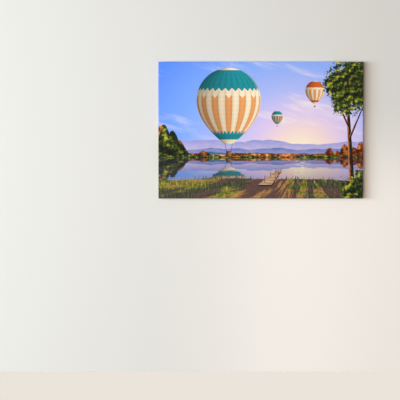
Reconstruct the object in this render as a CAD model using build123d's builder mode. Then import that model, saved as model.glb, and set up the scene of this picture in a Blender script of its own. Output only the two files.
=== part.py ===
from build123d import *
import os

# A stretched canvas wall print, 48 by 32 inches. A cotton canvas wraps a mitred pine stretcher frame
# with a centre brace, corner keys, sawtooth hangers and wall pads.
# Seen from the front, +X is right and +Z is up, and the printed face looks towards -Y.
# The origin is the middle of the frame's flat back, on the centre brace. All sizes are millimetres.

# Overall sizes, over the canvas
face_width = 1219.2
face_height = 812.8
face_depth = 38.1

# Canvas
cloth = 0.5
cloth_gap = 0.05
flap_width = 32.0

# Stretcher bar section
bar_width = 44.0
edge_round = 3.0
bead_width = 8.0
bead_height = 2.0
bead_round = 0.9
bevel_drop = 3.0
back_round = 2.0

# Corner joint: a tongue on each bar end fills a slot in its neighbour
tongue_thickness = 5.0
back_layer = 9.0
front_layer = 21.0
joint_gap = 0.1

# Corner keys
key_length = 40.0
key_tip = 5.0
key_head = 16.0
key_drive = 20.0
key_gap = 0.2
key_chamfer = 1.5

# Centre brace
brace_width = 44.0
brace_depth = 19.0
brace_round = 2.5
tenon_width = 32.0
tenon_thickness = 7.0
tenon_length = 14.0
tenon_relief = 1.0

# Sawtooth hangers
hanger_spacing = 600.0
hanger_length = 60.0
hanger_height = 12.0
hanger_thickness = 1.0
hanger_rise = 2.2
hanger_tab = 10.0
hanger_ramp = 3.0
tooth_pitch = 3.0
tooth_depth = 2.0
nail_hole_radius = 1.1
hanger_corner = 2.0

# Rubber wall pads, with a draft angle in degrees
pad_diameter = 18.0
pad_draft = 12.0
pad_round = 0.8
pad_clear = 20.0

# Sizes that follow
frame_width = face_width - 2 * (cloth + cloth_gap)
frame_height = face_height - 2 * (cloth + cloth_gap)
bar_depth = face_depth - cloth - cloth_gap
flap_back = cloth_gap + cloth
slot_thickness = tongue_thickness + 2 * joint_gap
key_thickness = slot_thickness - 2 * key_gap
key_room = key_tip + (key_head - key_tip) * key_drive / key_length + 2 * joint_gap
tenon_back = (brace_depth - tenon_thickness) / 2
brace_length = frame_height - 2 * bar_width
flap_middle = face_height / 2 - flap_width / 2

FRONT = Vector(0, -1, 0)


# Sides of the frame

class Side:
    """One side of the frame: where its bar's outer back edge is, and which way the bar runs."""

    def __init__(self, middle, along, inward, length, tongue_layer, slot_layer):
        self.middle = Vector(*middle)
        self.along = Vector(*along)
        self.inward = Vector(*inward)
        self.length = length
        self.tongue_layer = tongue_layer
        self.slot_layer = slot_layer

    def section_plane(self):
        """Plane across one end of the bar: x runs inward, y runs from the back to the front."""
        start = self.middle - self.along * (self.length / 2)
        return Plane(origin=start, x_dir=self.inward, z_dir=self.along)

    def plan_plane(self, depth=0.0):
        """Plane level with the back, depth nearer the front: x runs along the bar, y inward."""
        return Plane(origin=self.middle + FRONT * depth, x_dir=self.along, z_dir=FRONT)


half_width = frame_width / 2
half_height = frame_height / 2

top_side = Side((0, 0, half_height), (-1, 0, 0), (0, 0, -1), frame_width, back_layer, front_layer)
bottom_side = Side((0, 0, -half_height), (1, 0, 0), (0, 0, 1), frame_width, back_layer, front_layer)
left_side = Side((-half_width, 0, 0), (0, 0, -1), (1, 0, 0), frame_height, front_layer, back_layer)
right_side = Side((half_width, 0, 0), (0, 0, 1), (-1, 0, 0), frame_height, front_layer, back_layer)


# Stretcher bars

def make_bar(side, mortised):
    """A mitred bar with a tongue and a slot at each end, and a mortise for the brace if it takes one."""
    half = side.length / 2
    with BuildPart() as bar:
        with BuildSketch(side.section_plane()) as section:
            with BuildLine():
                Polyline(
                    (0, 0),
                    (0, bar_depth),
                    (bead_width, bar_depth),
                    (bead_width + bead_height, bar_depth - bead_height),
                    (bar_width, bar_depth - bead_height - bevel_drop),
                    (bar_width, 0),
                    close=True,
                )
            make_face()
            corners = section.vertices()
            front_corners = corners.group_by(Axis.Y)[-1].sort_by(Axis.X)
            fillet(front_corners[0], edge_round)
            corners = section.vertices()
            fillet(corners.group_by(Axis.Y)[-1].sort_by(Axis.X)[-1], bead_round)
            corners = section.vertices()
            fillet(corners.group_by(Axis.Y)[0].sort_by(Axis.X)[-1], back_round)
        extrude(amount=side.length)

        with BuildSketch(side.plan_plane()):
            with BuildLine():
                Polyline(
                    (-half, 0),
                    (half, 0),
                    (half - bar_width, bar_width),
                    (-half + bar_width, bar_width),
                    close=True,
                )
            make_face()
        extrude(amount=bar_depth, mode=Mode.INTERSECT)

        end_middle = half - bar_width / 2
        with BuildSketch(side.plan_plane(side.tongue_layer + joint_gap)):
            with Locations((-end_middle, bar_width / 2), (end_middle, bar_width / 2)):
                Rectangle(bar_width, bar_width)
        extrude(amount=tongue_thickness)

        slot_length = bar_width + key_room
        slot_middle = half - slot_length / 2
        with BuildSketch(side.plan_plane(side.slot_layer)):
            with Locations((-slot_middle, bar_width / 2), (slot_middle, bar_width / 2)):
                Rectangle(slot_length, bar_width)
        extrude(amount=slot_thickness, mode=Mode.SUBTRACT)

        if mortised:
            mortise_depth = tenon_length + tenon_relief
            with BuildSketch(side.plan_plane(tenon_back - joint_gap)):
                with Locations((0, bar_width - mortise_depth / 2)):
                    Rectangle(tenon_width + 2 * joint_gap, mortise_depth)
            extrude(amount=tenon_thickness + 2 * joint_gap, mode=Mode.SUBTRACT)
    return bar.part


bars = {
    "top_bar": make_bar(top_side, mortised=True),
    "bottom_bar": make_bar(bottom_side, mortised=True),
    "left_bar": make_bar(left_side, mortised=False),
    "right_bar": make_bar(right_side, mortised=False),
}


# Corner keys

def make_key(side, end):
    """A tapered key in the bar's slot at one end, its straight edge against the neighbouring bar.

    end is -1 or 1, along the bar. The key's tip is key_drive inside the bar's inner face.
    """
    straight = side.length / 2 - bar_width - joint_gap
    tip = bar_width - key_drive
    head = tip + key_length
    with BuildPart() as key:
        with BuildSketch(side.plan_plane(side.slot_layer + key_gap)) as outline:
            with BuildLine():
                Polyline(
                    (end * straight, tip),
                    (end * (straight - key_tip), tip),
                    (end * (straight - key_head), head),
                    (end * straight, head),
                    close=True,
                )
            make_face()
            chamfer(outline.vertices().group_by(Axis.Y)[-1], key_chamfer)
        extrude(amount=key_thickness)
    return key.part


keys = {
    "top_bar_left_key": make_key(top_side, 1),
    "top_bar_right_key": make_key(top_side, -1),
    "bottom_bar_left_key": make_key(bottom_side, -1),
    "bottom_bar_right_key": make_key(bottom_side, 1),
    "left_bar_top_key": make_key(left_side, -1),
    "left_bar_bottom_key": make_key(left_side, 1),
    "right_bar_top_key": make_key(right_side, 1),
    "right_bar_bottom_key": make_key(right_side, -1),
}


# Centre brace, flush with the back

with BuildPart() as centre_brace:
    with BuildSketch(Plane.XY.offset(-brace_length / 2)) as brace_section:
        with Locations((0, -brace_depth / 2)):
            Rectangle(brace_width, brace_depth)
        fillet(brace_section.vertices(), brace_round)
    extrude(amount=brace_length)
    tenoned_length = brace_length + 2 * tenon_length
    with BuildSketch(Plane.XY.offset(-tenoned_length / 2)):
        with Locations((0, -brace_depth / 2)):
            Rectangle(tenon_width, tenon_thickness)
    extrude(amount=tenoned_length)


# Canvas: front, sides and back flaps in one sheet, with a folded layer at each corner

side_start = -face_depth + edge_round + cloth + cloth_gap
fold_length = flap_back - side_start

with BuildPart() as canvas:
    with BuildSketch(Plane.XZ.offset(-flap_back)):
        Rectangle(face_width, face_height)
    extrude(amount=face_depth + flap_back)
    fillet(canvas.faces().sort_by(Axis.Y)[0].edges(), edge_round + cloth + cloth_gap)

    with BuildPart(mode=Mode.PRIVATE) as frame_space:
        with BuildSketch(Plane.XZ.offset(-cloth_gap)):
            Rectangle(face_width - 2 * cloth, face_height - 2 * cloth)
        extrude(amount=bar_depth + 2 * cloth_gap)
        fillet(frame_space.faces().sort_by(Axis.Y)[0].edges(), edge_round + cloth_gap)
    add(frame_space.part, mode=Mode.SUBTRACT)

    with BuildSketch(Plane.XZ.offset(-flap_back)):
        Rectangle(face_width - 2 * flap_width, face_height - 2 * flap_width)
    extrude(amount=bar_depth, mode=Mode.SUBTRACT)

    for up in (-1, 1):
        edge_plane = Plane.XY.offset(up * face_height / 2 - (cloth if up < 0 else 0))
        for right in (-1, 1):
            with BuildSketch(edge_plane):
                with BuildLine():
                    Polyline(
                        (right * face_width / 2, side_start),
                        (right * face_width / 2, flap_back),
                        (right * (face_width / 2 - fold_length), flap_back),
                        close=True,
                    )
                make_face()
            extrude(amount=cloth)

            with BuildSketch(Plane.XZ.offset(-flap_back - cloth)):
                with BuildLine():
                    Polyline(
                        (right * face_width / 2, up * face_height / 2),
                        (right * (face_width / 2 - flap_width), up * (face_height / 2 - flap_width)),
                        (right * face_width / 2, up * (face_height / 2 - flap_width)),
                        close=True,
                    )
                make_face()
            extrude(amount=cloth)


# Sawtooth hangers on the top flap

def make_hanger(middle_x):
    """A bent steel strip: flat nailed tabs, a raised middle and a row of teeth along its lower edge."""
    half = hanger_length / 2
    raised = half - hanger_tab - hanger_ramp
    tooth_count = int(2 * raised / tooth_pitch)
    with BuildPart() as hanger:
        strip_plane = Plane(origin=(middle_x, flap_back, flap_middle - hanger_height / 2))
        with BuildSketch(strip_plane):
            with BuildLine():
                Polyline(
                    (-half, 0),
                    (-half + hanger_tab, 0),
                    (-raised, hanger_rise),
                    (raised, hanger_rise),
                    (half - hanger_tab, 0),
                    (half, 0),
                    (half, hanger_thickness),
                    (half - hanger_tab, hanger_thickness),
                    (raised, hanger_rise + hanger_thickness),
                    (-raised, hanger_rise + hanger_thickness),
                    (-half + hanger_tab, hanger_thickness),
                    (-half, hanger_thickness),
                    close=True,
                )
            make_face()
        extrude(amount=hanger_height)

        hanger_back = flap_back + hanger_rise + hanger_thickness
        face_plane = Plane(origin=(middle_x, hanger_back, flap_middle), x_dir=(1, 0, 0), z_dir=FRONT)
        with BuildSketch(face_plane):
            with Locations((0, -hanger_height / 2)):
                with GridLocations(tooth_pitch, 0, tooth_count, 1):
                    Polygon(
                        (-tooth_pitch / 2, 0),
                        (0, tooth_depth),
                        (tooth_pitch / 2, 0),
                        align=None,
                    )
        extrude(amount=hanger_thickness, mode=Mode.SUBTRACT)

        with BuildSketch(face_plane):
            with GridLocations(hanger_length - hanger_tab, 0, 2, 1):
                Circle(nail_hole_radius)
        extrude(amount=hanger_back, mode=Mode.SUBTRACT)
        ends = hanger.edges().filter_by(Axis.Y).group_by(Axis.X)
        fillet(ends[0] + ends[-1], hanger_corner)
    return hanger.part


hangers = {
    "hanger_left": make_hanger(-hanger_spacing / 2),
    "hanger_right": make_hanger(hanger_spacing / 2),
}


# Wall pads on the bottom flap, as thick as the hangers stand out

pad_thickness = hanger_rise + hanger_thickness
pad_x = face_width / 2 - flap_width - pad_clear - pad_diameter / 2


def make_pad(middle_x):
    """A moulded round pad that narrows to an eased rim, its flat face towards the wall."""
    with BuildPart() as pad:
        with BuildSketch(Plane(origin=(middle_x, flap_back, -flap_middle), x_dir=(1, 0, 0), z_dir=-FRONT)):
            Circle(pad_diameter / 2)
        extrude(amount=pad_thickness, taper=pad_draft)
        fillet(pad.faces().sort_by(Axis.Y)[-1].edges(), pad_round)
    return pad.part


pads = {
    "pad_left": make_pad(-pad_x),
    "pad_right": make_pad(pad_x),
}


# Files

os.makedirs("parts", exist_ok=True)
pieces = {
    "canvas": canvas.part,
    "centre_brace": centre_brace.part,
    **bars,
    **keys,
    **hangers,
    **pads,
}
for name, piece in pieces.items():
    piece.label = name
    export_step(piece, f"parts/{name}.step")
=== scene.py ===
import math
import random
from typing import NamedTuple

import bpy
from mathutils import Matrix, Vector, noise


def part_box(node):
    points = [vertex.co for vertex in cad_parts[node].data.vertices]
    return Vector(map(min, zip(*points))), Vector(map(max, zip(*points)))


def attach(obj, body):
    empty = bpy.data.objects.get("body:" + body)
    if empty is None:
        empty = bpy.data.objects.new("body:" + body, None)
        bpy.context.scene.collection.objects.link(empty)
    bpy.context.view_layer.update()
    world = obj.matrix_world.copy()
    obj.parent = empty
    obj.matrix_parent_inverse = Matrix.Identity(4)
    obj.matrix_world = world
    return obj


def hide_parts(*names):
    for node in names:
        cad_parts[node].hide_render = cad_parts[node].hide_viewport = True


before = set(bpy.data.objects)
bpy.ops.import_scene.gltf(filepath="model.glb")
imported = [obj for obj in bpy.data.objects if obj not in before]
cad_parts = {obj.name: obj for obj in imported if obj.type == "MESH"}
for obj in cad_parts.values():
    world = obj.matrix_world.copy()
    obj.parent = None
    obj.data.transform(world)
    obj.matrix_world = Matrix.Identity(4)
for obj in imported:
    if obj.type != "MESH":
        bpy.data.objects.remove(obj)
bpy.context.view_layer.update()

scene = bpy.context.scene

# The looks of a stretched canvas wall print: the cloth and its picture, pine bars, keys and hardware.
# Lengths are metres in the frame's own axes: X to the right, Z up, and the print faces -Y.

MILLIMETRE = 0.001

# The cloth's thickness, its flaps' width, how far the print runs on behind, and the front edges' radius. The
# solid's box also takes in the corner folds, which stand one cloth proud.
CLOTH = 0.5 * MILLIMETRE
FLAP_WIDTH = 32 * MILLIMETRE
BLEED = 9 * MILLIMETRE
EDGE_ROUND = 3.55 * MILLIMETRE
canvas_low, canvas_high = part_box("canvas")
HALF_WIDTH = canvas_high.x
HALF_HEIGHT = canvas_high.z - CLOTH
FRONT_Y = canvas_low.y
BACK_Y = canvas_high.y - CLOTH
WALL_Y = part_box("pad_left")[1].y

HANGERS = ("hanger_left", "hanger_right")
PADS = ("pad_left", "pad_right")

# The canvas's two maps: where each spot lies on the print, and where its look is laid out for baking
PRINT_MAP = "print"
BAKED_MAP = "OFBake"


# Nodes with arithmetic

def rgb(red, green, blue):
    """A colour given as 0 to 255 on screen, as the linear colour that nodes take."""
    def channel(value):
        share = value / 255
        return share / 12.92 if share <= 0.04045 else ((share + 0.055) / 1.055) ** 2.4
    return (channel(red), channel(green), channel(blue), 1.0)


class Value:
    """A number or colour that varies over a surface. Arithmetic on it adds nodes."""

    def __init__(self, graph, socket):
        self.graph = graph
        self.socket = socket

    def __abs__(self):
        return self.graph.math("ABSOLUTE", self)


def allow(name, operation):
    """Lets a Value stand on either side of an operator."""
    setattr(Value, f"__{name}__", lambda self, other: self.graph.math(operation, self, other))
    setattr(Value, f"__r{name}__", lambda self, other: self.graph.math(operation, other, self))


OPERATORS = {
    "add": "ADD", "sub": "SUBTRACT", "mul": "MULTIPLY", "truediv": "DIVIDE",
    "gt": "GREATER_THAN", "lt": "LESS_THAN",
}
for name, operation in OPERATORS.items():
    allow(name, operation)


class Graph:
    """Adds nodes to a material or the world, and joins them."""

    def __init__(self, tree):
        self.tree = tree

    def node(self, kind, inputs=(), **settings):
        """A node of that kind, with its inputs given by name or number."""
        made = self.tree.nodes.new("ShaderNode" + kind)
        for name, value in settings.items():
            setattr(made, name, value)
        for key, value in dict(inputs).items():
            self.feed(value, made.inputs[key])
        return made

    def feed(self, value, socket):
        if isinstance(value, Value):
            self.tree.links.new(value.socket, socket)
        else:
            socket.default_value = value

    def output(self, made, name):
        return Value(self, made.outputs[name])

    def value(self, kind, name, inputs=(), **settings):
        """The output of that name of a new node."""
        return self.output(self.node(kind, inputs, **settings), name)

    def math(self, operation, *values):
        return self.value("Math", 0, enumerate(values), operation=operation)

    def fade(self, value, start, end, low=0.0, high=1.0):
        """Turns smoothly from low to high as value goes from start to end."""
        inputs = {"Value": value, "From Min": start, "From Max": end, "To Min": low, "To Max": high}
        return self.value("MapRange", "Result", inputs, interpolation_type="SMOOTHSTEP")

    def choose(self, share, low, high):
        """The number low where share is 0, and high where it is 1."""
        return low + (high - low) * share

    def point(self, x, y=0.0, z=0.0):
        return self.value("CombineXYZ", 0, {"X": x, "Y": y, "Z": z})

    def split(self, point):
        made = self.node("SeparateXYZ", {0: point})
        return [self.output(made, axis) for axis in "XYZ"]

    def place(self):
        """A spot's place in the object's own axes."""
        return self.split(self.value("TexCoord", "Object"))

    def print_place(self):
        """A spot's place on the print, right of its middle and above it."""
        return self.split(self.value("UVMap", "UV", uv_map=PRINT_MAP))[:2]

    def noise(self, x, y=0.0, z=0.0, scale=1.0, detail=2.0, roughness=0.5, warp=0.0):
        """Cloudy noise from 0 to 1, mostly near a half."""
        inputs = {
            "Vector": self.point(x, y, z), "Scale": scale,
            "Detail": detail, "Roughness": roughness, "Distortion": warp,
        }
        return self.value("TexNoise", "Fac", inputs)

    def cells(self, x, y, scale=1.0):
        """Distance to the nearest of many scattered points, and that point's random number."""
        inputs = {"Vector": self.point(x, y), "Scale": scale}
        made = self.node("TexVoronoi", inputs, voronoi_dimensions="2D")
        chance = self.value("SeparateColor", "Red", {"Color": self.output(made, "Color")})
        return self.output(made, "Distance"), chance

    def mix(self, share, first, second, blend="MIX"):
        inputs = {0: share, 6: first, 7: second}
        return self.value("Mix", 2, inputs, data_type="RGBA", blend_type=blend)

    def shaded(self, colour, light):
        """The colour times a number."""
        grey = self.value("CombineColor", 0, {"Red": light, "Green": light, "Blue": light})
        return self.mix(1.0, colour, grey, blend="MULTIPLY")

    def ramp(self, value, *stops):
        """A colour along a scale of (place, colour) stops."""
        made = self.node("ValToRGB", {"Fac": value})
        bar = made.color_ramp
        while len(bar.elements) > 1:
            bar.elements.remove(bar.elements[-1])
        bar.elements[0].position, bar.elements[0].color = stops[0]
        for place, colour in stops[1:]:
            bar.elements.new(place).color = colour
        return self.output(made, "Color")

    def bump(self, height, distance, strength=0.5):
        inputs = {"Height": height, "Distance": distance, "Strength": strength}
        return self.value("Bump", "Normal", inputs)


class Paint(Graph):
    """A new material with its nodes and its main shader."""

    def __init__(self, name, roughness=0.5, specular=0.5, metallic=0.0):
        self.material = bpy.data.materials.new(name)
        self.material.use_nodes = True
        super().__init__(self.material.node_tree)
        self.shader = self.tree.nodes["Principled BSDF"]
        self.set("Roughness", roughness)
        self.set("Specular IOR Level", specular)
        self.set("Metallic", metallic)

    def set(self, name, value):
        """Sets an input of the main shader itself, or joins it to a value."""
        self.feed(value, self.shader.inputs[name])


# The generic picture on the canvas, 1 high: balloons over a lake at sundown. Its functions add nodes to g,
# and lay what they draw over colour.

HORIZON = 0.30
SUN_X = 0.30
SUN_Y = 0.365

# Leaves from shade to light
GREENS = (rgb(14, 22, 18), rgb(40, 56, 26), rgb(104, 116, 32), rgb(214, 200, 70))
RUSTS = (rgb(40, 20, 18), rgb(128, 58, 26), rgb(214, 114, 42), rgb(255, 196, 104))
TEAL = rgb(26, 138, 150)
APRICOT = rgb(236, 160, 96)
CREAM = rgb(250, 228, 196)
RUST = rgb(206, 96, 44)

# Hills, the far ones first: foot, rise, scale, seed, and the colours at their top and foot
HILLS = (
    (0.415, 0.17, 1.7, 2.3, rgb(140, 148, 218), rgb(222, 202, 232)),
    (0.365, 0.12, 2.4, 9.6, rgb(84, 112, 180), rgb(186, 174, 218)),
    (0.33, 0.075, 3.6, 5.2, rgb(38, 96, 124), rgb(128, 150, 184)),
)

# Groves on the far shore: start, end, rise, seed, leaves, and crowns to a picture's height
GROVES = (
    (-0.28, -0.74, 0.26, 6.3, RUSTS, 13.0),
    (-0.44, -0.80, 0.34, 2.7, GREENS, 13.0),
    (0.36, 0.62, 0.12, 8.8, RUSTS, 20.0),
)

# Balloons: centre, radius, the colours of top, band, body and stripe, and how many gores show
BALLOONS = (
    (0.395, 0.79, 0.07, (RUST, CREAM, APRICOT, CREAM), 12.0),
    (0.12, 0.60, 0.042, (TEAL, CREAM, TEAL, APRICOT), 12.0),
    (-0.235, 0.72, 0.235, (TEAL, CREAM, APRICOT, CREAM), 14.0),
)

# Trees all along the shore, far and near: middle of their tops, rise, scale, seed and leaves
FAR_TREES = (0.328, 0.05, 5.0, 1.4, RUSTS)
NEAR_TREES = (0.312, 0.05, 7.0, 4.4, GREENS)

# The near tree's trunk and boughs: foot, top and half width
BOUGHS = (
    ((0.672, 0.06), (0.63, 0.80), 0.02),
    ((0.650, 0.44), (0.76, 0.70), 0.009),
    ((0.645, 0.52), (0.52, 0.80), 0.008),
)

# Its crown and the undergrowth at its foot: centre, half width, half height and seed
CROWNS = ((0.72, 0.86, 0.24, 0.22, 5.5), (0.77, 0.07, 0.20, 0.12, 9.1))


def sky(g, x, y):
    """Rings of colour round the sun, with thin clouds above."""
    across = x - SUN_X
    up = y - SUN_Y
    from_sun = g.math("SQRT", across * across * 0.62 + up * up)
    colour = g.ramp(
        from_sun,
        (0.0, rgb(255, 250, 232)), (0.05, rgb(255, 238, 214)), (0.14, rgb(252, 222, 220)),
        (0.27, rgb(226, 204, 246)), (0.45, rgb(178, 190, 254)), (0.70, rgb(130, 172, 255)),
        (1.0, rgb(92, 142, 250)),
    )
    wisps = g.noise(x * 1.1, y * 4.2 + x * 0.9, 3.7, scale=2.3, detail=7.0, roughness=0.6, warp=0.35)
    patches = g.noise(x, y, 8.1, scale=1.6)
    cloud = g.fade(wisps + patches * 0.5, 0.76, 1.02) * g.fade(y, 0.34, 0.6)
    lit = g.mix(g.fade(from_sun, 0.2, 0.9), rgb(255, 238, 232), rgb(214, 212, 250))
    return g.mix(cloud * 0.75, colour, lit)


def ridge(g, colour, x, y, base, rise, scale, seed, top, foot):
    """Hills that are paler towards their foot."""
    line = g.noise(x, seed, scale=scale, detail=7.0, roughness=0.52) * rise + (base - rise / 2)
    height = g.fade(y, base - rise * 0.9, base + rise * 0.3)
    grain = g.noise(x * 3.0, y * 6.0, seed, scale=6.0, detail=5.0, roughness=0.65)
    slope = g.mix(height, foot, top)
    slope = g.mix(g.fade(grain, 0.35, 0.75) * 0.35, slope, foot)
    return g.mix(g.fade(y - line, 0.0015, -0.0015), colour, slope)


def foliage(g, x, y, seed, scale, tones, sunward=1.0):
    """Leaves in clumps, lit from above and from one side."""
    clumps = g.noise(x, y, seed, scale=scale, detail=6.0, roughness=0.74)
    aside = x + sunward * 0.35 / scale
    beside = g.noise(aside, y + 0.45 / scale, seed, scale=scale, detail=6.0, roughness=0.74)
    lit = g.fade(clumps - beside, -0.2, 0.24)
    return g.ramp(lit, (0.0, tones[0]), (0.4, tones[1]), (0.68, tones[2]), (1.0, tones[3]))


def tree_line(g, colour, x, y, base, rise, scale, seed, tones):
    """A closed row of trees."""
    crowns = g.noise(x, seed, scale=scale)
    leaves = g.noise(x, y, seed, scale=42.0, detail=4.0, roughness=0.6)
    edge = crowns * rise + (base - rise / 2) + (leaves - 0.5) * 0.02
    return g.mix(g.fade(y - edge, 0.002, -0.002), colour, foliage(g, x, y, seed, 26.0, tones))


def grove(g, colour, x, y, start, end, rise, seed, tones, crowns):
    """Taller trees on the far shore, from none at start to full height at end."""
    spot, chance = g.cells(x, seed, scale=crowns)
    leaves = g.noise(x, y, seed, scale=36.0, detail=4.0, roughness=0.65)
    height = 0.75 + chance * 0.3 - spot * spot * 0.9 + (leaves - 0.5) * (0.06 / rise)
    edge = height * g.fade(x, start, end) * rise + HORIZON
    tone = foliage(g, x, y, seed, 19.0, tones)
    light = g.fade(y, HORIZON, HORIZON + rise * 0.8, 0.4, 1.1) * g.fade(leaves, 0.35, 0.65, 0.7, 1.2)
    tone = g.shaded(tone, light)
    return g.mix(g.fade(y - edge, 0.0025, -0.0025), colour, tone)


def balloon(g, colour, x, y, centre_x, centre_y, radius, paints, gores):
    """A striped hot-air balloon with its basket. Its own coordinates have a radius of 1."""
    top, band, body, stripe = paints
    across = (x - centre_x) / radius
    up = (y - centre_y) / radius
    mouth = -1.36
    upper = g.math("SQRT", g.math("MAXIMUM", 1.0 - up * up, 0.0))
    fall = up / mouth
    lower = 1.0 - fall * fall * 0.87
    width = g.math("MAXIMUM", g.choose(up > 0.0, lower, upper), 0.001)
    inside = g.fade(abs(across) - width, 0.002 / radius, -0.002 / radius) * (up > mouth) * (up < 1.0)
    turn = g.math("ARCSINE", g.math("MINIMUM", g.math("MAXIMUM", across / width, -1.0), 1.0))
    gore = turn * (gores / math.pi) + 0.5
    part = g.math("FRACT", gore)
    odd = g.math("FRACT", gore * 0.5) > 0.5
    point = abs(part - 0.5) * 0.22
    tone = g.mix(odd, body, stripe)
    tone = g.mix(g.fade(up + point, -0.95, -0.94), top, tone)
    tone = g.mix(g.fade(up - point, 0.06, 0.07), tone, band)
    tone = g.mix(g.fade(up - point, 0.27, 0.28), tone, top)
    tone = g.mix(g.fade(up, 0.93, 0.94), tone, band)
    tone = g.mix(g.fade(up, -1.22, -1.23), tone, stripe)
    bulge = g.math("SINE", part * math.pi)
    tapes = g.math("SINE", up * 46.0)
    light = g.math("SINE", turn + 0.45) * 0.5 + 0.5
    light = g.fade(light, 0.0, 1.0, 0.34, 1.08) * (bulge * 0.22 + 0.82) * (tapes * 0.025 + 1.0)
    tone = g.shaded(tone, light * g.fade(up, -1.2, 0.9, 0.9, 1.05))
    tone = g.mix(g.fade(turn, 1.1, 1.5) * 0.35, tone, rgb(255, 222, 180))
    colour = g.mix(inside, colour, tone)
    rope = abs(abs(across) - (mouth - up) * -0.18 - 0.115)
    ropes = g.fade(rope, 0.012, 0.004) * (up < mouth + 0.02) * (up > mouth - 0.26)
    colour = g.mix(ropes * 0.8, colour, rgb(60, 50, 60))
    basket = g.fade(abs(across), 0.085, 0.075) * g.fade(abs(up - mouth + 0.3), 0.078, 0.07)
    wicker = g.mix(g.fade(across, -0.08, 0.08), rgb(64, 36, 26), rgb(178, 112, 62))
    wicker = g.mix(g.fade(up - mouth, -0.24, -0.25), rgb(58, 32, 24), wicker)
    return g.mix(basket, colour, wicker)


def scenery(g, x, y):
    """What stands over the water: sky, hills, the far shore and the balloons."""
    colour = sky(g, x, y)
    for hill in HILLS:
        colour = ridge(g, colour, x, y, *hill)
    colour = tree_line(g, colour, x, y, *FAR_TREES)
    for trees in GROVES:
        colour = grove(g, colour, x, y, *trees)
    colour = tree_line(g, colour, x, y, *NEAR_TREES)
    for design in BALLOONS:
        colour = balloon(g, colour, x, y, *design)
    return colour


def lake_view(g, x, y):
    """The scenery, and its mirror image in rippled water with the sun's glitter."""
    depth = g.math("MAXIMUM", HORIZON - y, 0.0)
    water = depth > 0.0
    ripple = g.noise(x * 2.0, y * 46.0, 1.0, scale=3.0, detail=3.0, roughness=0.6) - 0.5
    chop = g.noise(x * 7.0, y * 120.0, 5.0, scale=3.0, roughness=0.6) - 0.5
    mirrored = depth * 1.35 + HORIZON + ripple * (depth * 0.5 + 0.012)
    seen_x = x + chop * (depth * 0.18 + 0.006) * water
    colour = scenery(g, seen_x, g.choose(water, y, mirrored))
    tint = g.fade(depth, 0.0, 0.2, 0.22, 0.55) * water
    colour = g.mix(tint, colour, rgb(58, 58, 70))
    glint = g.fade(abs(x - SUN_X), 0.11, 0.0) * g.fade(chop, 0.02, 0.16) * water
    return g.mix(glint * 0.9, colour, rgb(255, 240, 210))


def meadow(g, x, y):
    """Sandy ground and dry grass, with long shadows that fan out from the sun."""
    fall = g.math("MAXIMUM", HORIZON - y, 0.05)
    away = 0.3 / fall
    across = x * away
    grain = g.noise(across * 1.5, away * 6.0, 2.0, scale=15.0, detail=6.0, roughness=0.7)
    broad = g.noise(across, away * 2.2, 6.0, scale=2.6, detail=4.0, roughness=0.6)
    blades = g.noise(x * 95.0, y * 22.0, 4.0, detail=3.0, roughness=0.6)
    sand = g.ramp(grain, (0.25, rgb(92, 58, 40)), (0.5, rgb(166, 116, 70)), (0.72, rgb(236, 186, 118)))
    mown = blades * 0.6 + grain * 0.4
    grass = g.ramp(mown, (0.32, rgb(26, 36, 16)), (0.5, rgb(104, 112, 32)), (0.68, rgb(222, 204, 84)))
    track = abs(x - 0.02 - y * 0.25) * away
    bare = broad + g.fade(track, 0.3, 0.1) * 0.3 + (grain - 0.5) * 0.3
    colour = g.mix(g.fade(bare, 0.54, 0.62), grass, sand)
    fan = g.math("ARCTAN2", x - SUN_X, fall)
    streaks = g.noise(fan * 5.0, away * 0.8, 7.0, scale=1.5, detail=5.0, roughness=0.6)
    shade = g.fade(streaks + (grain - 0.5) * 0.15, 0.44, 0.52)
    return g.mix(shade * 0.76, colour, rgb(38, 34, 58))


def jetty(g, colour, x, y):
    """A plank jetty from the bank out over the water."""
    near, far = 0.10, 0.205
    near_half, far_half = 0.05, 0.02
    near_x, far_x = 0.03, 0.13

    def side_at(run, side):
        return near_x + (far_x - near_x) * run + side * (near_half + (far_half - near_half) * run)

    def slab(lift):
        run = (y - lift - near) / (far - near)
        left = side_at(run, -1)
        right = side_at(run, 1)
        inside = g.fade(x - left, -0.001, 0.001) * g.fade(right - x, -0.001, 0.001)
        return inside * g.fade(abs(run - 0.5), 0.505, 0.495)

    colour = g.mix(slab(-0.011), colour, rgb(44, 32, 38))
    planks = g.math("FRACT", 3.4 / (HORIZON - y))
    grain = g.noise(x * 12.0, planks, y * 90.0, detail=3.0)
    deck = g.mix(g.fade(grain, 0.3, 0.7), rgb(150, 108, 88), rgb(232, 190, 150))
    deck = g.mix(g.fade(abs(planks - 0.5), 0.4, 0.46), deck, rgb(62, 44, 48))
    colour = g.mix(slab(0.0), colour, deck)
    for run in (0.4, 0.72, 1.0):
        for side in (-1, 1):
            place = side_at(run, side)
            half = 0.0048 - 0.0024 * run
            foot = near + (far - near) * run - 0.03 + 0.012 * run
            top = foot + 0.062 - 0.028 * run
            post = g.fade(abs(x - place), half + 0.0006, half - 0.0006)
            post = post * g.fade(y, foot - 0.001, foot + 0.001) * g.fade(y, top + 0.001, top - 0.001)
            lit = g.mix(g.fade(x, place - half, place + half), rgb(52, 36, 36), rgb(196, 134, 90))
            colour = g.mix(post, colour, lit)
    return colour


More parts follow.
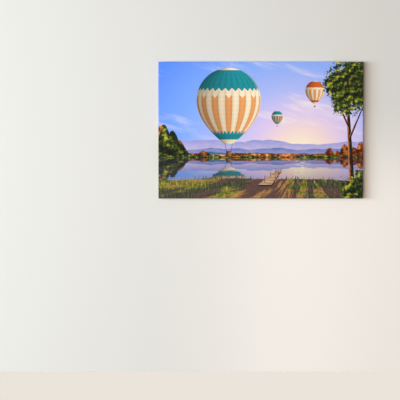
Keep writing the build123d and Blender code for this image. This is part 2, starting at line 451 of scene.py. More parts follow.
def crown(g, colour, x, y, centre_x, centre_y, half_width, half_height, seed, tones):
    """A near tree's crown, with sky between its leaves."""
    across = (x - centre_x) / half_width
    up = (y - centre_y) / half_height
    reach = g.math("SQRT", across * across + up * up)
    boughs = g.noise(x, y, seed, scale=6.5)
    leaves = g.noise(x, y, seed + 1.0, scale=62.0, detail=3.0, roughness=0.75)
    edge = reach + (boughs - 0.5) * 1.3 + (leaves - 0.5) * 1.3
    tone = foliage(g, x, y, seed, 26.0, tones, sunward=-1.0)
    tone = g.shaded(tone, g.fade(edge, 0.3, 1.0, 0.55, 1.2) * g.fade(leaves, 0.35, 0.65, 0.75, 1.2))
    return g.mix(g.fade(edge, 1.03, 0.97), colour, tone)


def trunk(g, colour, x, y, foot, top, width):
    """A trunk or bough that thins upwards, lit along its sunward side."""
    rise = (y - foot[1]) / (top[1] - foot[1])
    across = (x - foot[0] - rise * (top[0] - foot[0])) / g.choose(rise, width, width * 0.45)
    bark = g.noise(x * 60.0, y * 16.0, 3.0, detail=4.0)
    lit = g.fade(across + (bark - 0.5) * 1.6, -0.1, -0.9)
    tone = g.mix(lit, rgb(36, 26, 26), rgb(206, 128, 74))
    inside = g.fade(abs(across), 1.08, 0.92) * g.fade(abs(rise - 0.5), 0.5, 0.49)
    return g.mix(inside, colour, tone)


def near_tree(g, colour, x, y):
    """A tree at the right edge, with its foot in dark undergrowth."""
    for bough in BOUGHS:
        colour = trunk(g, colour, x, y, *bough)
    for leaves in CROWNS:
        colour = crown(g, colour, x, y, *leaves, GREENS)
    return colour


def picture(g):
    """The whole picture. Its coordinates go from 0 to 1 up the canvas's front."""
    height = 2 * HALF_HEIGHT
    x, y = g.print_place()
    x = x / height
    y = y / height + 0.5
    colour = lake_view(g, x, y)
    bank = g.noise(x, 3.3, scale=2.0, detail=5.0) * 0.07 + 0.105
    reeds = g.noise(x * 130.0, y * 9.0, 2.0)
    bank = bank + g.fade(reeds, 0.5, 0.8) * 0.035
    colour = g.mix(g.fade(y - bank, 0.002, -0.002), colour, meadow(g, x, y))
    colour = jetty(g, colour, x, y)
    return near_tree(g, colour, x, y)


# Materials of the canvas

THREAD_PITCH = 0.48 * MILLIMETRE
WEAVE_DEPTH = 0.08 * MILLIMETRE


def weave(g):
    """The relief of a plain weave, with thicker threads here and there."""
    x, y = g.print_place()
    turns = math.pi / THREAD_PITCH
    threads = g.math("SINE", x * turns) * g.math("SINE", y * turns)
    across_slubs = g.noise(x * 40.0, y * 1800.0, 1.0, detail=1.0)
    upright_slubs = g.noise(x * 1800.0, y * 40.0, 2.0, detail=1.0)
    height = threads * 0.5 + across_slubs + upright_slubs
    g.set("Normal", g.bump(height, WEAVE_DEPTH))


def print_material():
    """Matt ink on the primed cloth."""
    g = Paint("printed canvas", roughness=0.62, specular=0.12)
    g.set("Base Color", picture(g))
    weave(g)
    return g.material


def primed_material():
    """The white primed face of the cloth, where the print ends."""
    g = Paint("primed canvas", roughness=0.75, specular=0.25)
    x, _, z = g.place()
    patches = g.noise(x, z, scale=30.0, detail=4.0)
    g.set("Base Color", g.mix(g.fade(patches, 0.3, 0.7), rgb(236, 233, 226), rgb(224, 220, 210)))
    weave(g)
    return g.material


def raw_material():
    """The unprimed back of the cotton cloth."""
    g = Paint("raw canvas", roughness=0.9, specular=0.15)
    x, _, z = g.place()
    level_shift = g.noise(z * 700.0, 8.0) * 60.0
    upright_shift = g.noise(x * 700.0, 9.0) * 60.0
    level = g.noise(x * 45.0 + level_shift, z * 1100.0, 3.0, detail=3.0)
    upright = g.noise(x * 1100.0, z * 45.0 + upright_shift, 4.0, detail=3.0)
    broad = g.noise(x, z, 5.0, scale=4.0, detail=4.0)
    flecks = g.fade(g.noise(x * 260.0, z * 260.0, 6.0, detail=1.0), 0.70, 0.76)
    share = g.fade(level + upright + broad * 0.5, 0.9, 1.6)
    colour = g.mix(share, rgb(216, 206, 186), rgb(238, 231, 215))
    colour = g.mix(flecks * 0.3, colour, rgb(150, 128, 92))
    g.set("Base Color", colour)
    weave(g)
    return g.material


# Materials of the frame and hardware

def wood_material(name, along, tones, seed, knots=0.0, pores=1.0):
    """Planed wood in a pale and a dark tone with rings, pores and knots. Its grain runs along an axis."""
    g = Paint(name, specular=0.3)
    axes = dict(zip("XYZ", g.place()))
    length = axes.pop(along)
    across, through = axes.values()
    sway = g.noise(length * 1.4, seed, scale=1.6) - 0.5
    bend = g.noise(length * 3.5, across * 14.0, through * 14.0 + seed, detail=3.0) - 0.5
    inward = across + through * 0.45 + sway * 0.03
    ring = inward * 170.0 + g.noise(inward * 32.0, seed) * 9.0 + bend * 2.4
    band = g.math("FRACT", ring)
    late = g.fade(band, 0.35, 0.92) * g.fade(band, 1.0, 0.94)
    fine = g.noise(length * 9.0, across * 900.0, through * 900.0 + seed, detail=4.0, roughness=0.65)
    broad = g.noise(length * 1.5, across * 16.0, through * 16.0 + seed)
    share = late * 0.46 + (fine - 0.5) * 0.7 * pores + (broad - 0.5) * 0.5 + 0.12
    colour = g.mix(g.fade(share, 0.0, 0.85), tones[0], tones[1])
    if knots:
        spot, chance = g.cells(length * 2.6 + seed, (across + through) * 12.0)
        here = chance < knots
        halo = g.fade(spot, 0.22, 0.05) * here
        core = g.fade(spot, 0.085, 0.06) * here
        colour = g.mix(halo * 0.45, colour, rgb(176, 118, 62))
        colour = g.mix(core * 0.85, colour, rgb(104, 58, 28))
    g.set("Base Color", colour)
    g.set("Roughness", g.fade(share, 0.0, 1.0, 0.62, 0.5))
    g.set("Normal", g.bump(fine + late * 0.4, 0.15 * MILLIMETRE))
    return g.material


def steel_material(name, colour, worn, roughness):
    """Plated steel with fine scratches and a cloudy finish."""
    g = Paint(name, metallic=1.0)
    x, y, z = g.place()
    clouds = g.noise(x * 300.0, y * 300.0, z * 300.0, detail=4.0)
    scratches = g.noise(x * 500.0, y * 500.0, z * 4000.0, detail=3.0)
    g.set("Base Color", g.mix(g.fade(clouds, 0.35, 0.65), colour, worn))
    g.set("Roughness", g.fade(scratches, 0.3, 0.7, roughness - 0.08, roughness + 0.1))
    g.set("Normal", g.bump(scratches, 0.02 * MILLIMETRE, 0.4))
    return g.material


def rubber_material():
    """Moulded matt rubber with a dusty bloom."""
    g = Paint("rubber")
    x, y, z = g.place()
    bloom = g.noise(x, y, z, scale=420.0, detail=5.0, roughness=0.65)
    grain = g.noise(x, y, z, scale=5200.0)
    g.set("Base Color", g.mix(g.fade(bloom, 0.4, 0.75), rgb(34, 34, 35), rgb(70, 69, 67)))
    g.set("Roughness", g.fade(bloom, 0.3, 0.7, 0.5, 0.75))
    g.set("Normal", g.bump(grain, 0.05 * MILLIMETRE))
    return g.material


def thread_material():
    """Undyed cotton thread."""
    g = Paint("loose thread", roughness=0.9)
    x, y, z = g.place()
    twist = g.noise(x, y, z, scale=1500.0)
    g.set("Base Color", g.mix(g.fade(twist, 0.3, 0.7), rgb(222, 214, 196), rgb(243, 238, 226)))
    return g.material


# Meshes

def add_object(name, data):
    made = bpy.data.objects.new(name, data)
    scene.collection.objects.link(made)
    return made


def new_piece(name, points, faces, *materials, smooth_under=35):
    """A mesh object in the scene. Edges sharper than smooth_under degrees stay sharp."""
    mesh = bpy.data.meshes.new(name)
    mesh.from_pydata(points, [], faces)
    for material in materials:
        mesh.materials.append(material)
    mesh.shade_smooth()
    mesh.set_sharp_from_angle(angle=math.radians(smooth_under))
    return add_object(name, mesh)


class Shape:
    """Gathers many small solids for one mesh."""

    def __init__(self):
        self.points = []
        self.faces = []

    def sweep(self, stations):
        """A solid through rings of points, closed at both ends, with its faces looking outwards."""
        first = len(self.points)
        count = len(stations[0])
        for ring in stations:
            self.points.extend(Vector(point) for point in ring)
        end = len(self.points)
        faces = [tuple(range(first + count - 1, first - 1, -1)), tuple(range(end - count, end))]
        for low in range(first, end - count, count):
            for side in range(count):
                beside = (side + 1) % count
                faces.append((low + side, low + beside, low + count + beside, low + count + side))
        volume = 0.0
        for face in faces:
            corners = [self.points[number] - self.points[first] for number in face]
            for second, third in zip(corners[1:], corners[2:]):
                volume += corners[0].dot(second.cross(third))
        self.faces.extend(faces if volume > 0 else [face[::-1] for face in faces])


class Sheet:
    """Gathers a cloth's points, faces, places on the print, spots in the bake and material numbers."""

    def __init__(self):
        self.points = []
        self.places = []
        self.spots = []
        self.faces = []
        self.kinds = []
        self.known = {}

    def number(self, position):
        """The number of the point there. Points at one position are one, so seams close."""
        key = tuple(round(value / (0.01 * MILLIMETRE)) for value in position)
        if key not in self.known:
            self.known[key] = len(self.points)
            self.points.append(Vector(position))
        return self.known[key]

    def grid(self, rows, kinds, outward, panel):
        """Faces between rows of (position, print place), which together look outward.

        kinds has a material number for the faces after each row, and panel is their place in the bake.
        """
        left, bottom, width, height = panel
        middles = [Vector(row[len(row) // 2][0]) for row in rows]
        runs = [0.0]
        for low, high in zip(middles, middles[1:]):
            runs.append(runs[-1] + (high - low).length)
        numbered = []
        for row, run in zip(rows, runs):
            step = width / (len(row) - 1)
            up = bottom + height * run / runs[-1]
            numbered.append([
                (self.number(position), place, (left + step * column, up))
                for column, (position, place) in enumerate(row)
            ])
        faces = []
        facing = 0.0
        for low, high, kind in zip(numbered, numbered[1:], kinds):
            for corners in zip(low, low[1:], high[1:], high):
                kept = [corner for i, corner in enumerate(corners) if corner[0] != corners[i - 1][0]]
                if len(kept) > 2:
                    shape = [self.points[corner[0]] for corner in kept]
                    facing += (shape[2] - shape[0]).cross(shape[-1] - shape[1]).dot(outward)
                    faces.append((kept, kind))
        for corners, kind in faces:
            if facing < 0:
                corners = corners[::-1]
            self.faces.append([number for number, _, _ in corners])
            self.places.append([place for _, place, _ in corners])
            self.spots.append([spot for _, _, spot in corners])
            self.kinds.append(kind)


# The canvas: a hollow front, four wrapped sides with flaps, and the folds of the corners

PRINTED, PRIMED, RAW = 0, 1, 2
COLUMNS, ROWS = 150, 100
SIDE_START = FRONT_Y + EDGE_ROUND
ROUND_RUN = EDGE_ROUND * math.pi / 2
BACK_RUN = ROUND_RUN - SIDE_START + BACK_Y * math.pi / 2

# The cloth's look has one square picture for baking. A panel is a part's place there: its left,
# bottom, width and height.
WHOLE_PICTURE = (0.0, 0.0, 1.0, 1.0)
FRONT_PANEL = (0.004, 0.004, 0.992, 0.600)
RAW_FRONT_PANEL = (0.004, 0.763, 0.860, 0.233)
HIDDEN_PANEL = (0.872, 0.840, 0.124, 0.156)
FOLD_LEFT, FOLD_BOTTOM = 0.872, 0.763
FOLD_STEP, FOLD_SIZE = 0.0315, 0.027


def fold_panel(right, up, row):
    """A corner fold's small panel: row 0 has the side folds and row 1 the back ones."""
    column = (right + 1) + (up + 1) // 2
    return (FOLD_LEFT + FOLD_STEP * column, FOLD_BOTTOM + FOLD_STEP * row, FOLD_SIZE, FOLD_SIZE)


class Wrap(NamedTuple):
    """One side of the canvas: its outward axis and sign, its half sizes, its mesh steps and its panel."""

    axis: str
    sign: int
    half_out: float
    half_along: float
    steps: int
    panel: tuple

    def place(self, out, y, along):
        """The point that far out from the middle and along the side, at that depth."""
        return (self.sign * out, y, along) if self.axis == "x" else (along, y, self.sign * out)

    def printed(self, walked, along):
        """The spot of the print there, mirrored round the front edge."""
        out = self.sign * (self.half_out - abs(walked - EDGE_ROUND))
        return (out, along) if self.axis == "x" else (along, out)


# The right, left, top and bottom sides
WRAPS = (
    Wrap("x", 1, HALF_WIDTH, HALF_HEIGHT, ROWS, (0.004, 0.712, 0.493, 0.045)),
    Wrap("x", -1, HALF_WIDTH, HALF_HEIGHT, ROWS, (0.503, 0.712, 0.493, 0.045)),
    Wrap("z", 1, HALF_HEIGHT, HALF_WIDTH, COLUMNS, (0.004, 0.610, 0.992, 0.045)),
    Wrap("z", -1, HALF_HEIGHT, HALF_WIDTH, COLUMNS, (0.004, 0.661, 0.992, 0.045)),
)


# Staples come first, because the cloth is flat under them and lifts between them

STAPLE_PITCH = 48 * MILLIMETRE
STAPLE_INSET = 17 * MILLIMETRE
STAPLE_CLEAR = 14 * MILLIMETRE
STAPLE_END = 40 * MILLIMETRE
STAPLE_TILT = 0.12
draws = random.Random(48)


def stray(millimetres):
    """A random distance up to that many millimetres either way."""
    return draws.uniform(-millimetres, millimetres) * MILLIMETRE


def staple_spots(wrap):
    """Places along a flap that take a staple, clear of the hangers, the pads and the corners."""
    taken = []
    for node in HANGERS + PADS:
        low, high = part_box(node)
        if wrap.axis == "z" and low.z * wrap.sign > 0:
            taken.append((low.x - STAPLE_CLEAR, high.x + STAPLE_CLEAR))
    room = wrap.half_along - STAPLE_END
    count = round(2 * room / STAPLE_PITCH)
    spots = []
    for step in range(count + 1):
        along = -room + 2 * room * step / count + stray(4)
        if not any(low < along < high for low, high in taken):
            spots.append((along, STAPLE_INSET + stray(1.5), draws.gauss(0, STAPLE_TILT)))
    return spots


STAPLES = {wrap: staple_spots(wrap) for wrap in WRAPS}

# How far the cloth strays from a flat sheet, in millimetres
HOLLOW, BROAD_WAVES, SMALL_WAVES = 0.22, 0.16, 0.05
FLAP_LIFT = 1.1
CUT_WANDER = 1.3
TAUT_MARGIN = 60 * MILLIMETRE


def soft_noise(x, y, z):
    """Smooth noise round 0 at a point."""
    return noise.noise(Vector((x, y, z)))


def ripple(x, z):
    """How far the stretched front lies behind a flat plane: a slight hollow with faint waves."""
    inside = min(HALF_WIDTH - abs(x), HALF_HEIGHT - abs(z)) / TAUT_MARGIN
    settle = min(max(inside, 0.0), 1.0) ** 2
    broad = soft_noise(x * 5.0, z * 5.0, 2.0)
    small = soft_noise(x * 17.0, z * 17.0, 7.0)
    return settle * (HOLLOW + broad * BROAD_WAVES + small * SMALL_WAVES) * MILLIMETRE


def flap_lift(wrap, along, inset):
    """How far the flap stands off the wood: most at the cut edge between two staples."""
    free = min(abs(along - spot) for spot, _, _ in STAPLES[wrap]) / (STAPLE_PITCH / 2)
    out = max(0.0, (inset - STAPLE_INSET / 2) / (FLAP_WIDTH - STAPLE_INSET / 2))
    uneven = 0.6 + soft_noise(along * 12.0, 5.0, wrap.half_out * 9.0)
    corner = 1 - (abs(along) / (wrap.half_along - FLAP_WIDTH)) ** 12
    return max(0.0, min(free, 1.0) ** 1.5 * out ** 2 * uneven * corner) * FLAP_LIFT * MILLIMETRE


def cut_wander(wrap, along):
    """How far the flap's hand-cut edge strays from a straight line."""
    corner = 1 - min(1.0, abs(along) / (wrap.half_along - FLAP_WIDTH)) ** 8
    return soft_noise(along * 9.0, wrap.half_out * 7.0, 11.0) * CUT_WANDER * MILLIMETRE * corner


def spread(count):
    """Numbers from -1 to 1, in count steps."""
    return [2 * step / count - 1 for step in range(count + 1)]


def quarter(count):
    """The turns of a quarter circle after its start, in count steps."""
    return [math.pi / 2 * (step + 1) / count for step in range(count)]


FRONT_TURNS, SIDE_STEPS, BACK_TURNS = 6, 7, 5
FLAP_INSETS = (BLEED, 13 * MILLIMETRE, STAPLE_INSET, 22 * MILLIMETRE, 27 * MILLIMETRE, FLAP_WIDTH)


def wrap_stations():
    """From the front to the flap's cut edge: (inset, y, distance along the cloth)."""
    stations = [(EDGE_ROUND, FRONT_Y, 0.0)]
    for turn in quarter(FRONT_TURNS):
        depth = FRONT_Y + EDGE_ROUND * (1 - math.cos(turn))
        stations.append((EDGE_ROUND * (1 - math.sin(turn)), depth, EDGE_ROUND * turn))
    for step in range(1, SIDE_STEPS + 1):
        run = -SIDE_START * step / SIDE_STEPS
        stations.append((0.0, SIDE_START + run, ROUND_RUN + run))
    for turn in quarter(BACK_TURNS):
        inset = BACK_Y * (1 - math.cos(turn))
        stations.append((inset, BACK_Y * math.sin(turn), ROUND_RUN - SIDE_START + BACK_Y * turn))
    for inset in FLAP_INSETS:
        stations.append((inset, BACK_Y, BACK_RUN + inset - BACK_Y))
    return stations


def add_front(sheet):
    rows = []
    for up in spread(ROWS):
        z = up * (HALF_HEIGHT - EDGE_ROUND)
        across = [over * (HALF_WIDTH - EDGE_ROUND) for over in spread(COLUMNS)]
        rows.append([((x, FRONT_Y + ripple(x, z), z), (x, z)) for x in across])
    sheet.grid(rows, [PRINTED] * ROWS, Vector((0, -1, 0)), FRONT_PANEL)


def add_wrap(sheet, wrap):
    """A wrapped side and its flap, mitred at both ends."""
    rows = []
    kinds = []
    for inset, y, walked in wrap_stations():
        row = []
        for share in spread(wrap.steps):
            along = share * (wrap.half_along - inset)
            out = wrap.half_out - inset
            back = y
            if inset >= BLEED:
                back += flap_lift(wrap, along, inset)
            if inset >= FLAP_WIDTH:
                out += cut_wander(wrap, along)
            row.append((wrap.place(out, back, along), wrap.printed(walked, along)))
        rows.append(row)
        kinds.append(PRINTED if y < BACK_Y or inset < BLEED else PRIMED)
    sheet.grid(rows, kinds, Vector(wrap.place(1, 0, 0)), wrap.panel)


# The corner folds. Their edges sink a little into the cloth below. Shares go across a fold, with close pairs
# where it turns down, and the back fold's insets go from its outer edge to its apex.
FOLD_SINK = -0.1 * CLOTH
SIDE_FOLD_DEPTHS = 10
SIDE_FOLD_SHARES = (0.0, 0.05, 0.35, 0.65, 0.95, 1.0)
SIDE_FOLD_END = 0.2 * MILLIMETRE
BACK_FOLD_SHARES = (0.0, 0.03, 0.3, 0.6, 0.9, 1.0)
BACK_FOLD_START = BACK_Y + 0.1 * MILLIMETRE
BACK_FOLD_INSETS = (
    BACK_FOLD_START, BACK_FOLD_START + CLOTH, 4 * MILLIMETRE, BLEED, 16 * MILLIMETRE, 24 * MILLIMETRE,
    FLAP_WIDTH - MILLIMETRE,
)


def add_side_fold(sheet, right, up):
    """The corner's spare cloth, tucked flat over the top or bottom side."""
    rows = []
    longest = -SIDE_START - SIDE_FOLD_END
    for step in range(SIDE_FOLD_DEPTHS + 1):
        depth = longest * step / SIDE_FOLD_DEPTHS
        row = []
        for share in SIDE_FOLD_SHARES:
            over = depth * share
            proud = FOLD_SINK if share in (0.0, 1.0) else CLOTH
            position = (right * (HALF_WIDTH - over), SIDE_START + depth, up * (HALF_HEIGHT + proud))
            row.append((position, (right * (HALF_WIDTH - depth), up * (HALF_HEIGHT - over))))
        rows.append(row)
    sheet.grid(rows, [PRINTED] * SIDE_FOLD_DEPTHS, Vector((0, 0, up)), fold_panel(right, up, 0))


def add_back_fold(sheet, right, up):
    """The corner of the long flap, folded on the diagonal over the short one."""
    rows = []
    kinds = []
    for inset in BACK_FOLD_INSETS:
        row = []
        for share in BACK_FOLD_SHARES:
            drop = inset + (FLAP_WIDTH - inset) * share
            proud = FOLD_SINK if share == 0.0 or inset == BACK_FOLD_START else CLOTH
            x = right * (HALF_WIDTH - inset)
            z = up * (HALF_HEIGHT - drop)
            row.append(((x, BACK_Y + proud, z), (right * (HALF_WIDTH - BACK_RUN - inset), z)))
        rows.append(row)
        kinds.append(PRINTED if inset < BLEED else PRIMED)
    sheet.grid(rows, kinds, Vector((0, 1, 0)), fold_panel(right, up, 1))


def move_raw_faces(mesh):
    """Gives the cloth's raw side two panels of its own, with a large one for what is behind the front."""
    spots = mesh.uv_layers[BAKED_MAP].data
    front_top = FRONT_PANEL[1] + FRONT_PANEL[3] + 0.001
    for face in mesh.polygons:
        if face.material_index < RAW:
            continue
        behind_front = all(spots[corner].uv.y < front_top for corner in face.loop_indices)
        start, end = (FRONT_PANEL, RAW_FRONT_PANEL) if behind_front else (WHOLE_PICTURE, HIDDEN_PANEL)
        for corner in face.loop_indices:
            spot = spots[corner].uv
            spots[corner].uv = [end[i] + (spot[i] - start[i]) * end[i + 2] / start[i + 2] for i in (0, 1)]


def build_canvas():
    sheet = Sheet()
    add_front(sheet)
    for wrap in WRAPS:
        add_wrap(sheet, wrap)
    for right in (-1, 1):
        for up in (-1, 1):
            add_side_fold(sheet, right, up)
            add_back_fold(sheet, right, up)
    cloths = (print_material(), primed_material(), raw_material())
    piece = new_piece("canvas_sheet", sheet.points, sheet.faces, *cloths, smooth_under=20)
    piece.data.polygons.foreach_set("material_index", sheet.kinds)
    for name, faces in ((PRINT_MAP, sheet.places), (BAKED_MAP, sheet.spots)):
        layer = piece.data.uv_layers.new(name=name)
        for face, places in zip(piece.data.polygons, faces):
            for corner, place in zip(face.loop_indices, places):
                layer.data[corner].uv = place
    thickness = piece.modifiers.new("thickness", "SOLIDIFY")
    thickness.thickness = CLOTH
    thickness.offset = -1
    thickness.material_offset = RAW
    thickened = piece.evaluated_get(bpy.context.evaluated_depsgraph_get())
    piece.data = bpy.data.meshes.new_from_object(thickened)
    piece.modifiers.clear()
    move_raw_faces(piece.data)
    return piece


# Staples, hanger nails and loose threads

STAPLE_WIDTH = 10 * MILLIMETRE
STAPLE_LEGS = 1.5 * MILLIMETRE
STAPLE_SHOULDER = 0.5 * MILLIMETRE
WIRE_WIDTH = 1.2 * MILLIMETRE
WIRE_THICKNESS = 0.5 * MILLIMETRE

# A staple from one leg's foot to the other's: share of its half width, height, and 1 where it lies level
STAPLE_PATH = (
    (-1, -STAPLE_LEGS, 0), (-1, -STAPLE_SHOULDER, 0), (-0.93, 0, 1),
    (0.93, 0, 1), (1, -STAPLE_SHOULDER, 0), (1, -STAPLE_LEGS, 0),
)

# The wire's outline in half widths and half thicknesses, bevelled on top
WIRE_OUTLINE = ((-1, -1), (1, -1), (1, 0.6), (0.6, 1), (-0.6, 1), (-1, 0.6))

# A nail's radius, and its height over the hanger, both in millimetres
NAIL_PROFILE = ((0.6, -1.6), (0.6, 0.0), (1.7, 0.02), (1.75, 0.25), (1.5, 0.5), (0.9, 0.66), (0.3, 0.7))
NAIL_SPACING = 50 * MILLIMETRE
NAIL_SIDES = 14
HANGER_THICKNESS = 1 * MILLIMETRE

THREAD_SPACING = 22 * MILLIMETRE
THREAD_RADIUS = 0.16 * MILLIMETRE
THREAD_SIDES = 5
THREAD_STEPS = 8
THREAD_START = 0.4 * MILLIMETRE
THREAD_REST = 0.3 * MILLIMETRE


def circle(count):
    """The cosine and sine of that many even turns."""
    angles = [2 * math.pi * turn / count for turn in range(count)]
    return [(math.cos(angle), math.sin(angle)) for angle in angles]


def build_staples(material):
    """A row of bent wires along each flap, pressed into the cloth."""
    shape = Shape()
    reach = STAPLE_WIDTH / 2
    for wrap in WRAPS:
        for along, inset, tilt in STAPLES[wrap]:
            crown = BACK_Y + WIRE_THICKNESS * draws.uniform(0.5, 0.9)
            stations = []
            for share, drop, level in STAPLE_PATH:
                ring = []
                for across, rise in WIRE_OUTLINE:
                    thick = WIRE_THICKNESS / 2 * rise
                    run = share * reach + (0 if level else -math.copysign(thick, share) * rise)
                    out = across * WIRE_WIDTH / 2
                    lift = crown + drop - WIRE_THICKNESS / 2 + (thick if level else 0)
                    spot = along + run * math.cos(tilt) - out * math.sin(tilt)
                    deep = inset + run * math.sin(tilt) + out * math.cos(tilt)
                    ring.append(wrap.place(wrap.half_out - deep, lift, spot))
                stations.append(ring)
            shape.sweep(stations)
    return new_piece("staples", shape.points, shape.faces, material)


def build_nails(material):
    """A round-headed pin through each end of both hangers."""
    shape = Shape()
    for node in HANGERS:
        low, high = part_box(node)
        middle = (low + high) / 2
        for side in (-1, 1):
            x = middle.x + side * NAIL_SPACING / 2
            stations = []
            for radius, rise in NAIL_PROFILE:
                y = BACK_Y + HANGER_THICKNESS + rise * MILLIMETRE
                stations.append([
                    (x + radius * MILLIMETRE * cosine, y, middle.z + radius * MILLIMETRE * sine)
                    for cosine, sine in circle(NAIL_SIDES)
                ])
            shape.sweep(stations)
    return new_piece("hanger_nails", shape.points, shape.faces, material)


def build_threads(material):
    """Frayed ends along the flaps' cut edges, each a short curl near the wood."""
    shape = Shape()
    for wrap in WRAPS:
        for _ in range(round(wrap.half_along / THREAD_SPACING)):
            along = draws.uniform(-1, 1) * (wrap.half_along - 1.5 * FLAP_WIDTH)
            out = wrap.half_out - FLAP_WIDTH + cut_wander(wrap, along) + THREAD_START
            lift = BACK_Y + flap_lift(wrap, along, FLAP_WIDTH) - CLOTH / 2
            heading = draws.gauss(0, 0.5)
            curl = draws.gauss(0, 0.16)
            length = draws.uniform(0.5, 1.4) * MILLIMETRE
            stations = []
            for step in range(THREAD_STEPS + 1):
                thin = THREAD_RADIUS * (1 - 0.6 * step / THREAD_STEPS)
                ring = []
                for cosine, sine in circle(THREAD_SIDES):
                    aside = thin * cosine
                    spot = along + aside * math.cos(heading)
                    ring.append(wrap.place(out + aside * math.sin(heading), lift + thin * sine, spot))
                stations.append(ring)
                out -= length * math.cos(heading)
                along += length * math.sin(heading)
                lift += (THREAD_REST - lift) * 0.15 + stray(0.06)
                heading += curl
            shape.sweep(stations)
    return new_piece("loose_threads", shape.points, shape.faces, material)


zinc = steel_material("zinc", rgb(168, 171, 170), rgb(200, 200, 194), 0.42)
staple_wire = steel_material("staple wire", rgb(186, 188, 190), rgb(212, 212, 212), 0.32)
canvas_sheet = build_canvas()
staples = build_staples(staple_wire)
nails = build_nails(zinc)
threads = build_threads(thread_material())

for piece, slot in (
    (canvas_sheet, "printed_canvas"),
    (staples, "zinc_steel"),
    (nails, "zinc_steel"),
    (threads, "printed_canvas"),
):
    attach(piece, "root")
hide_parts("canvas")


# Finish of the carried-over nodes

PINE_TONES = (rgb(234, 208, 162), rgb(198, 146, 90))
KEY_TONES = (rgb(238, 218, 178), rgb(214, 182, 132))

# The bars with their grain's axis and seed, and the woods of the keys, each for the keys of two bars
BARS = (
    ("top_bar", "X", 3.1), ("bottom_bar", "X", 8.4),
    ("left_bar", "Z", 17.7), ("right_bar", "Z", 21.8), ("centre_brace", "Z", 25.9),
)
KEY_WOODS = (
    ("upright key wood", "Z", 7.9, ("top", "bottom")),
    ("level key wood", "X", 9.2, ("left", "right")),
)


def dress(nodes, material):
    for node in nodes:
        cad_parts[node].material_slots[0].material = material


for bar, along, seed in BARS:
    dress([bar], wood_material("pine " + bar, along, PINE_TONES, seed, knots=0.12))
for name, along, seed, bars in KEY_WOODS:
    keys = [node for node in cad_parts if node.startswith(bars) and node.endswith("_key")]
    dress(keys, wood_material(name, along, KEY_TONES, seed, pores=0.6))
dress(HANGERS, zinc)
dress(PADS, rubber_material())


# Wall and floor behind the object

AIR_COLOUR = (0.80, 0.775, 0.74, 1.0)
FLOOR_COLOUR = rgb(234, 228, 219)
FLOOR_FADE = (3.0, 26.0)
WALL_COLOUR = rgb(226, 223, 219)

# Painted light on the wall, paler where the room's light would fall: from left to right, and from high to
# low
PAINTED_LIGHT_WALL_COLOUR = rgb(253, 246, 241)
PAINTED_LIGHT_X, PAINTED_LIGHT_Z = (-0.75, 0.35), (0.2, -0.5)

# Where it is painted warmer, against the blue light that the canvas's sky-blue side throws on it: within a
# reach of the canvas's left side, and from its sky's foot to its top
BOUNCE_COUNTER_COLOUR = (0.76, 0.685, 0.56, 1.0)
BOUNCE_COUNTER_REACH = 0.065
BOUNCE_COUNTER_FOOT, BOUNCE_COUNTER_TOP = (0.0, 0.1), (0.455, 0.37)


def floor_paint():
    """A lit floor that takes the air's colour far away."""
    g = Paint("floor paint", specular=0.0)
    x, y, _ = g.place()
    away = g.math("SQRT", x * x + y * y)
    g.set("Base Color", rgb(0, 0, 0))
    g.set("Emission Color", g.mix(g.fade(away, *FLOOR_FADE), FLOOR_COLOUR, AIR_COLOUR))
    g.set("Emission Strength", 1.0)
    return g.material


def wall_paint():
    """Matt paint with painted light: paler low on the right, and warmer beside the print's sky against the
    blue light its side throws there. From behind it is clear.
    """
    g = Paint("wall paint", roughness=0.95, specular=0.1)
    x, _, z = g.place()
    # Painted light: the wall is paler low on the right, where the room's light would fall
    lit = g.fade(x, *PAINTED_LIGHT_X) * g.fade(z, *PAINTED_LIGHT_Z)
    # Painted light: a warm tint beside the canvas's left side that cancels the blue light its side throws on
    # the wall
    painted_bounce_counter = g.fade(abs(x + HALF_WIDTH), BOUNCE_COUNTER_REACH, 0.0) * g.fade(z, *BOUNCE_COUNTER_FOOT) * g.fade(z, *BOUNCE_COUNTER_TOP)
    g.set("Base Color", g.mix(painted_bounce_counter, g.mix(lit, WALL_COLOUR, PAINTED_LIGHT_WALL_COLOUR), BOUNCE_COUNTER_COLOUR))
    behind = g.value("NewGeometry", "Backfacing")
    clear = g.value("BsdfTransparent", 0)
    surface = g.value("MixShader", 0, {0: behind, 1: g.output(g.shader, 0), 2: clear})
    g.feed(surface, g.tree.nodes["Material Output"].inputs["Surface"])
    return g.material


WALL_HALF_WIDTH = 2.6
WALL_TOP = 2.4
FLOOR_REACH = 90.0
FLOOR_Z = -1.45

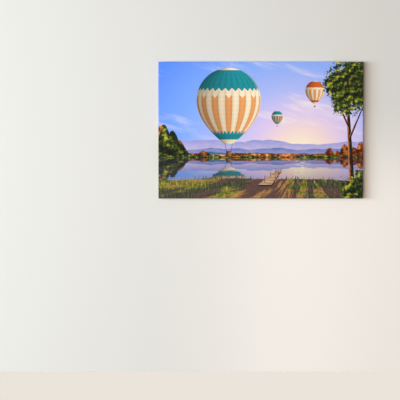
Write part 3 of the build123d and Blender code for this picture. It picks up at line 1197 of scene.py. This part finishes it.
corners = ((-1, -1), (1, -1), (1, 1), (-1, 1))
wall_points = [(x * WALL_HALF_WIDTH, WALL_Y, WALL_TOP if z > 0 else FLOOR_Z) for x, z in corners]
floor_points = [(x * FLOOR_REACH, y * FLOOR_REACH, FLOOR_Z) for x, y in corners]
wall = new_piece("wall", wall_points, [(0, 1, 2, 3)], wall_paint())
floor = new_piece("floor", floor_points, [(0, 1, 2, 3)], floor_paint())
for stage_piece in (wall, floor):
    stage_piece.visible_shadow = False
    stage_piece.visible_diffuse = False
    stage_piece.visible_glossy = False


# Light

# Area lights: name, place, width, height, power and colour. All of them face the frame's origin.
LIGHTS = (
    ("window", (-7.7, -5.6, 0.2), 6.5, 3.0, 800.0, (0.72, 0.90, 1.0)),
    ("room", (-2.6, -8.6, -0.4), 4.5, 2.5, 420.0, (1.0, 0.85, 0.7)),
    ("behind left", (-4.5, 7.0, 3.5), 4.0, 4.0, 520.0, (1.0, 0.98, 0.95)),
    ("behind right", (6.0, 5.5, 2.0), 4.0, 4.0, 260.0, (0.96, 0.98, 1.0)),
)
for name, place, width, height, power, colour in LIGHTS:
    data = bpy.data.lights.new(name, "AREA")
    data.shape = "RECTANGLE"
    data.size = width
    data.size_y = height
    data.energy = power
    data.color = colour
    light = add_object(name, data)
    light.location = place
    light.rotation_euler = (-Vector(place)).to_track_quat("-Z", "Y").to_euler()

# The air, as gloss and matt surfaces see it. The camera sees AIR_COLOUR.
GLOSSY_AIR = (0.42, 0.41, 0.40, 1.0)
AMBIENT_AIR = (0.14, 0.135, 0.13, 1.0)
world = bpy.data.worlds.new("room air")
world.use_nodes = True
air = Graph(world.node_tree)
ray = air.node("LightPath")
ambient = air.mix(air.output(ray, "Is Glossy Ray"), AMBIENT_AIR, GLOSSY_AIR)
seen = air.mix(air.output(ray, "Is Camera Ray"), ambient, AIR_COLOUR)
air.feed(seen, world.node_tree.nodes["Background"].inputs["Color"])
scene.world = world
scene.view_settings.view_transform = "Standard"


# Camera

# In pixels: the photograph's frame, its focal length, and how far its horizon lies above its middle
IMAGE_SIZE = 400
FOCAL_PIXELS = 1408
HORIZON_RISE = 49

EYE = (-0.3617, FRONT_Y - 8.391, -0.1234)

camera_data = bpy.data.cameras.new("camera")
camera_data.lens = FOCAL_PIXELS / IMAGE_SIZE * camera_data.sensor_width
camera = add_object("camera", camera_data)
camera.location = EYE
camera.rotation_euler = (math.pi / 2 - math.atan(HORIZON_RISE / FOCAL_PIXELS), 0.0, 0.0)
scene.camera = camera
